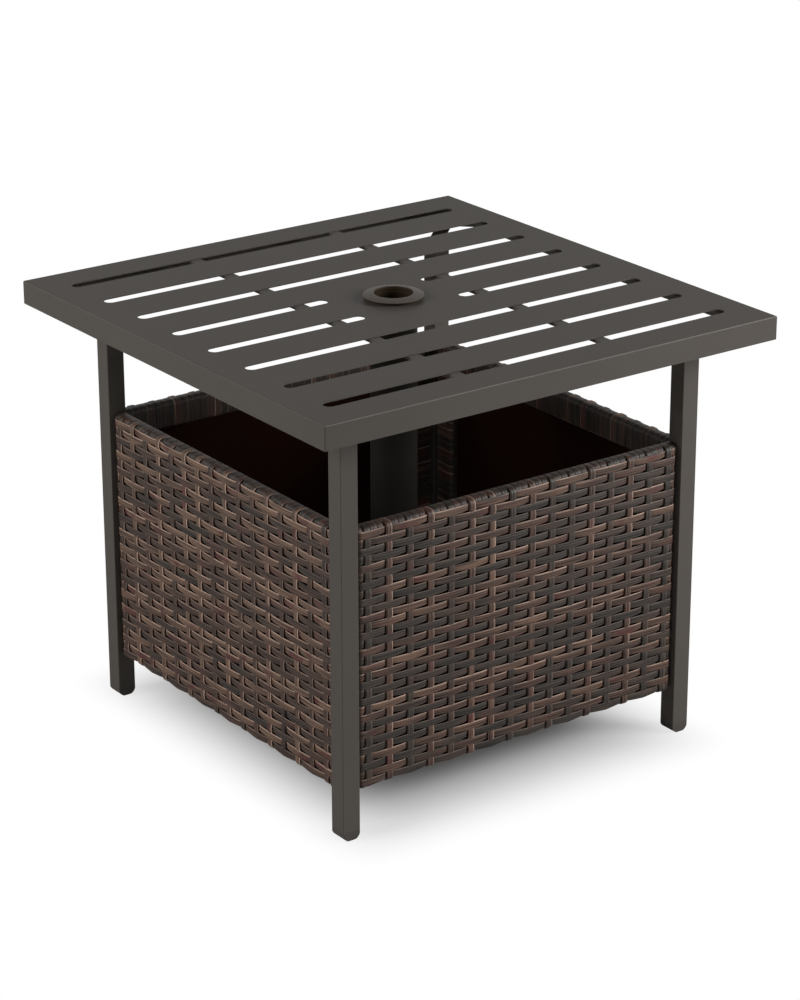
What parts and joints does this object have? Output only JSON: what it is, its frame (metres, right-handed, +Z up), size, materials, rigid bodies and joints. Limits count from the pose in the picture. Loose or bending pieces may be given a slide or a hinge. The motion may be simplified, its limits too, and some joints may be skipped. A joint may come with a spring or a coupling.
{
  "type": "outdoor side table",
  "caption": "Square outdoor side table with a slotted metal top, a central umbrella hole and guide tube, square legs and woven skirt panels.",
  "frame": {"origin": "on the floor under the middle of the table", "axes": "+Z up, X along the slots, -Y towards the front panel, which the picture shows on its right"},
  "size_m": [0.56, 0.56, 0.4764],
  "materials": {
    "coated_steel": "dark bronze-grey powder coat, satin with a fine grain",
    "frame_steel": "black primer, hidden inside the weave",
    "resin_wicker": "flat extruded strands in dark charcoal brown and reddish brown, fine lengthwise ridges",
    "liner_board": "matt near-black brown",
    "ring_plastic": "moulded, satin",
    "foot_plastic": "moulded, matt",
    "plated_steel": "zinc plate"
  },
  "bodies": {
    "root": {"back_panel_frame": "frame_steel", "back_panel_liner": "liner_board", "back_panel_lugs": "coated_steel", "back_panel_weave": "resin_wicker", "corner_brace_back_left": "coated_steel", "corner_brace_back_right": "coated_steel", "corner_brace_front_left": "coated_steel", "corner_brace_front_right": "coated_steel", "foot_back_left": "foot_plastic", "foot_back_right": "foot_plastic", "foot_front_left": "foot_plastic", "foot_front_right": "foot_plastic", "front_panel_frame": "frame_steel", "front_panel_liner": "liner_board", "front_panel_lugs": "coated_steel", "front_panel_weave": "resin_wicker", "left_panel_frame": "frame_steel", "left_panel_liner": "liner_board", "left_panel_lugs": "coated_steel", "left_panel_weave": "resin_wicker", "leg_back_left": "coated_steel", "leg_back_right": "coated_steel", "leg_front_left": "coated_steel", "leg_front_right": "coated_steel", "leg_tab_back_left": "coated_steel", "leg_tab_back_right": "coated_steel", "leg_tab_front_left": "coated_steel", "leg_tab_front_right": "coated_steel", "panel_bolts": "plated_steel", "panel_rivet_nuts": "plated_steel", "right_panel_frame": "frame_steel", "right_panel_liner": "liner_board", "right_panel_lugs": "coated_steel", "right_panel_weave": "resin_wicker", "slotted_top": "coated_steel", "stiffener_left": "coated_steel", "stiffener_right": "coated_steel", "top_bolts": "plated_steel", "top_weld_nuts": "plated_steel", "tube_flange": "coated_steel", "umbrella_ring": "ring_plastic", "umbrella_tube": "coated_steel"}
  },
  "joints": []
}
